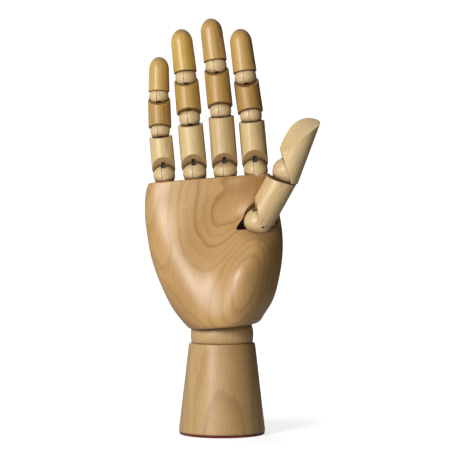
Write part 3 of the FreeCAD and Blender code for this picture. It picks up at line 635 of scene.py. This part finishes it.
# %% Steel pieces
STEEL_RELIEF = 0.15
STEEL_RELIEF_HEIGHT = 0.0001
UPRIGHT_STEEL = ["wrist_eye_rod", "palm_eye_screw"]
TURNED_STEEL = ["wrist_washer", "wrist_nut", "wrist_spring"]


def steel(name, way):
    """Steel painted dark as shade for the slots, whose fine marks run along the given way."""
    finish, tree, skin = new_finish(name + "_steel", {"Metallic": 1.0})
    where = put(tree, "TexCoord").outputs["Object"]
    marks = put(tree, "Group", node_tree=drawn)
    tree.links.new(turned_along(tree, where, way), marks.inputs["Vector"])
    tree.links.new(marks.outputs["Colour"], skin.inputs["Base Color"])
    tree.links.new(marks.outputs["Roughness"], skin.inputs["Roughness"])
    raise_surface(tree, skin, marks.outputs["Height"], STEEL_RELIEF, STEEL_RELIEF_HEIGHT)
    return finish


upright_steel = steel("upright", (0, 0, 1))
turned_steel = steel("turned", (1, 0, 0))
link_names = [name for name in nodes if name.endswith(("_link", "_links"))]
for name in link_names + UPRIGHT_STEEL:
    dress(name, upright_steel)
for name in TURNED_STEEL:
    dress(name, turned_steel)
print("steel pieces dressed:", len(link_names + UPRIGHT_STEEL + TURNED_STEEL))

# %% [markdown]
# The pieces that the scene adds are made from arrays of points and lists of faces.
# This helper turns them into an object that stands at the origin, with its place in its mesh.

# %% A helper for new pieces


def new_piece(name, points, faces, smooth=True):
    """A mesh object from corner points and from faces that name those points."""
    mesh = bpy.data.meshes.new(name)
    mesh.from_pydata(points.tolist(), [], faces)
    if smooth:
        mesh.shade_smooth()
    piece = bpy.data.objects.new(name, mesh)
    bpy.context.scene.collection.objects.link(piece)
    return piece


print("piece helper ready")

# %% [markdown]
# A felt disc under the base keeps the table from scratches.
# Pressed wool has no hard corner: its edge bulges a little and its outline is never quite round.
# A plain cylinder would look like plastic, so the disc is a grid of angles
# and of steps along a rounded profile.

# %% Felt disc
FLAT_STEPS = (0.35, 0.7)
EDGE_WAVES = ((7, 0.0), (23, 1.0), (61, 2.0))
EDGE_WANDER = 0.004


def pressed_profile(radius, thick, steps=15):
    """From the middle below to the middle above: shares of the radius and of the thickness.
    The edge is a half circle, its reach by cosine and its level by sine."""
    bulge = np.linspace(-math.pi / 2, math.pi / 2, steps)
    corner = thick / 2
    edge_reach = (radius - corner + corner * np.cos(bulge)) / radius
    reach = np.concatenate((FLAT_STEPS, edge_reach, FLAT_STEPS[::-1]))
    level = np.concatenate(([0, 0], 0.5 + 0.5 * np.sin(bulge), [1, 1]))
    return reach, level


def disc_faces(rows, turns):
    """Quads between each circle and the next, and a fan of triangles from each pole to its circle."""
    here = np.arange(turns)
    after = (here + 1) % turns
    under_pole, over_pole = rows * turns, rows * turns + 1
    last = (rows - 1) * turns
    faces = []
    for low in range(0, last, turns):
        high = low + turns
        faces += np.stack((low + here, low + after, high + after, high + here), axis=1).tolist()
    faces += np.stack((np.full(turns, under_pole), after, here), axis=1).tolist()
    faces += np.stack((np.full(turns, over_pole), last + here, last + after), axis=1).tolist()
    return faces


def pressed_disc(low, high, turns=240):
    """A closed disc between two corners of a box. Each step of the profile becomes a circle whose radius
    is its share of the disc's, times 1 minus a small sum of three sines of the angle."""
    radius = (high[0] - low[0]) / 2
    thick = high[2] - low[2]
    reach, level = pressed_profile(radius, thick)
    angle = np.linspace(0, 2 * math.pi, turns, endpoint=False)
    wander = 0.5 + sum(np.sin(waves * angle + phase) for waves, phase in EDGE_WAVES) / 6
    ring = reach[:, None] * radius * (1 - EDGE_WANDER * wander[None, :])
    middle = ((low[0] + high[0]) / 2, (low[1] + high[1]) / 2)
    grid = np.stack((
        middle[0] + ring * np.cos(angle),
        middle[1] + ring * np.sin(angle),
        np.repeat((low[2] + thick * level)[:, None], turns, axis=1),
    ), axis=-1).reshape(-1, 3)
    poles = np.array(((*middle, low[2]), (*middle, high[2])))
    return np.concatenate((grid, poles)), disc_faces(len(reach), turns)


felt_low, felt_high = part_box("base_felt")
points, faces = pressed_disc(felt_low, felt_high)
felt = new_piece("felt_disc", points, faces)
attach(felt, "base")
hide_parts("base_felt")
print("felt disc:", len(points), "points", len(faces), "faces")

# %% [markdown]
# Felt is a mat of short wool fibres in many directions, with a soft sheen at a low angle.
# Noise that is bent by itself gives the tangle, and a coarser noise gathers it into tufts.

# %% Felt finish
TANGLE_SCALE, TANGLE_DETAIL, TANGLE_TWIST = 2400.0, 4.0, 1.8
TUFT_SCALE = 700.0
TUFT_LEAST = 0.4
WOOL_RANGE = (0.2, 0.65)
FELT_RELIEF = 0.6
FELT_RELIEF_HEIGHT = 0.0003
matted, take, give = effect(
    "matted_wool",
    (
        ("Vector", "Vector", None),
        ("Bright", "Color", tint(150, 44, 36)),
        ("Dark", "Color", tint(70, 14, 12)),
    ),
    (("Colour", "Color"), ("Height", "Float")),
)
tangle_sockets = {"Scale": TANGLE_SCALE, "Detail": TANGLE_DETAIL, "Distortion": TANGLE_TWIST}
tangle = put(matted, "TexNoise", {"Vector": take["Vector"], **tangle_sockets}).outputs["Fac"]
tuft = speckle(matted, take["Vector"], TUFT_SCALE, detail=3.0)
wool = calc(matted, "MULTIPLY", tangle, calc(matted, "ADD", tuft, TUFT_LEAST))
brightness = ramp(matted, wool, *WOOL_RANGE)
matted.links.new(blend_colours(matted, brightness, take["Dark"], take["Bright"]), give["Colour"])
matted.links.new(wool, give["Height"])

felt_finish, tree, skin = new_finish("red_felt", {"Roughness": 0.92, "Sheen Weight": 0.35})
wool_here = put(tree, "Group", node_tree=matted)
tree.links.new(put(tree, "TexCoord").outputs["Object"], wool_here.inputs["Vector"])
tree.links.new(wool_here.outputs["Colour"], skin.inputs["Base Color"])
raise_surface(tree, skin, wool_here.outputs["Height"], FELT_RELIEF, FELT_RELIEF_HEIGHT)
felt.data.materials.append(felt_finish)
print("felt dressed")

# %% [markdown]
# The hand stands on a pale paper sweep: a flat floor, then a wide curve up into a wall.
# A floor and a wall that meet in a corner would draw a line across the picture.

# %% Paper sweep
SWEEP_NEAR = -2.5
SWEEP_TURN = 1.3
SWEEP_ROUND = 0.8
SWEEP_TOP = 2.6
SWEEP_HALF = 3.0


def sweep_line(steps=24):
    """Side view of the paper: a level run, a quarter circle from sine and cosine, and an upright run."""
    quarter = np.linspace(0, math.pi / 2, steps)
    across = SWEEP_TURN + SWEEP_ROUND * np.sin(quarter)
    up = SWEEP_ROUND * (1 - np.cos(quarter))
    wall_top = (SWEEP_TURN + SWEEP_ROUND, SWEEP_TOP)
    return np.concatenate(([(SWEEP_NEAR, 0.0)], np.stack((across, up), axis=1), [wall_top]))


line = sweep_line()
line_points = len(line)
left_edge = np.column_stack((np.full(line_points, -SWEEP_HALF), line))
right_edge = np.column_stack((np.full(line_points, SWEEP_HALF), line))
on_left = np.arange(line_points - 1)
on_right = line_points + on_left
sweep_faces = np.stack((on_left, on_right, on_right + 1, on_left + 1), axis=1).tolist()
sweep = new_piece("paper_sweep", np.concatenate((left_edge, right_edge)), sweep_faces)
print("paper sweep:", line_points, "steps")

# %% [markdown]
# Far away the paper glows white, for the camera alone, so it throws no more light on the hand.
# Near the base it glows less, is lit by the lamps, and keeps the hand's shadow.

# %% Paper finish
GLOW_DISTANCE = (0.05, 0.24)
GLOW_NEAR, GLOW_FAR = 0.7, 1.0
PAPER_COLOUR = (0.8, 0.8, 0.79, 1)
paper, tree, skin = new_finish("paper", {"Base Color": PAPER_COLOUR, "Roughness": 0.9})
paper_spot = put(tree, "TexCoord").outputs["Object"]
from_base = put(tree, "VectorMath", {0: paper_spot}, operation="LENGTH").outputs["Value"]
glow_strength = ramp(tree, from_base, *GLOW_DISTANCE, low=GLOW_NEAR, high=GLOW_FAR)
glow = put(tree, "Emission", {"Strength": glow_strength})
seen = put(tree, "LightPath").outputs["Is Camera Ray"]
both = put(tree, "AddShader", {0: skin.outputs[0], 1: glow.outputs[0]})
pick = put(tree, "MixShader", {0: seen, 1: skin.outputs[0], 2: both.outputs[0]})
tree.links.new(pick.outputs[0], tree.nodes["Material Output"].inputs["Surface"])
sweep.data.materials.append(paper)
print("paper glows from", GLOW_NEAR, "to", GLOW_FAR)

# %% [markdown]
# The room is white to the eye, in reflections and through glass, but sends out little light,
# so the right side of each turned piece falls off into a deep brown.
# Light Path tells the world's shader which kind of ray has asked.

# %% Room
ROOM_LIGHT = 0.06
room = bpy.data.worlds.new("room")
bpy.context.scene.world = room
room.use_nodes = True
tree = room.node_tree
path = put(tree, "LightPath").outputs
eye = calc(tree, "MAXIMUM", path["Is Camera Ray"], path["Is Glossy Ray"])
eye = calc(tree, "MAXIMUM", eye, path["Is Transmission Ray"])
room_strength = calc(tree, "MULTIPLY_ADD", eye, 1.0 - ROOM_LIGHT, ROOM_LIGHT)
tree.links.new(room_strength, tree.nodes["Background"].inputs["Strength"])
tree.nodes["Background"].inputs["Color"].default_value = (1, 1, 1, 1)
print("room sends out", ROOM_LIGHT, "of what it shows")

# %% [markdown]
# Light comes from one wide lamp at the front left, with a weak one in front to open the shadows,
# and one behind for whoever walks round the hand. Wide lamps give soft edges to the shadows.
# Each lamp's place, its aim and the length of its side are in metres, and its power is in watts.

# %% Lamps


def lamp(name, place, aim, side, power):
    """A square soft lamp that looks from its place at its aim."""
    light = bpy.data.lights.new(name, "AREA")
    light.shape = "SQUARE"
    light.size = side
    light.energy = power
    made = bpy.data.objects.new(name, light)
    made.location = place
    made.rotation_euler = (Vector(aim) - Vector(place)).to_track_quat("-Z", "Y").to_euler()
    bpy.context.scene.collection.objects.link(made)


lamp("window", place=(-0.72, -1.08, 0.5), aim=(0, 0, 0.16), side=0.45, power=12.0)
lamp("front_fill", place=(-0.1, -1.6, 0.3), aim=(0, 0, 0.15), side=0.8, power=1.4)
lamp("rear_fill", place=(-0.5, 1.2, 0.7), aim=(0, 0, 0.15), side=0.8, power=4.5)
print("three lamps")

# %% [markdown]
# A photographer stands black card beside the object and behind it, to keep that side dark.
# It is folded once here, so it takes the white room out of the reflections on the right.
# The camera doesn't see it and it throws no shadow, so it is in nobody's way in other views.

# %% Black card at the right
CARD_FOOT = ((0.36, -0.75), (0.34, 0.7), (0.06, 0.7))
CARD_HEIGHT = 0.9
CARD_COLOUR = (0.02, 0.02, 0.02, 1)
card_points = np.array([(x, y, z) for z in (0, CARD_HEIGHT) for x, y in CARD_FOOT])
card = new_piece("black_card", card_points, [(0, 1, 4, 3), (1, 2, 5, 4)], smooth=False)
card.visible_camera = False
card.visible_shadow = False
black = new_finish("black_card", {"Base Color": CARD_COLOUR, "Roughness": 0.95})[0]
card.data.materials.append(black)
print("black card at the right")

# %% [markdown]
# The photograph was taken level, from a little over a metre, at half of the hand's height.
# A long lens from there keeps the fingers nearly parallel, as they are in the photograph.

# %% Camera
LENS_MM = 133.6
SENSOR_MM = 36.0
CAMERA_PLACE = (0.0055, -1.25, 0.1496)
lens = bpy.data.cameras.new("camera")
lens.lens = LENS_MM
lens.sensor_width = SENSOR_MM
camera = bpy.data.objects.new("camera", lens)
camera.location = CAMERA_PLACE
camera.rotation_euler = (math.radians(90), 0, 0)
bpy.context.scene.collection.objects.link(camera)
bpy.context.scene.camera = camera
bpy.context.scene.view_settings.view_transform = "Standard"
print("camera at", tuple(camera.location))
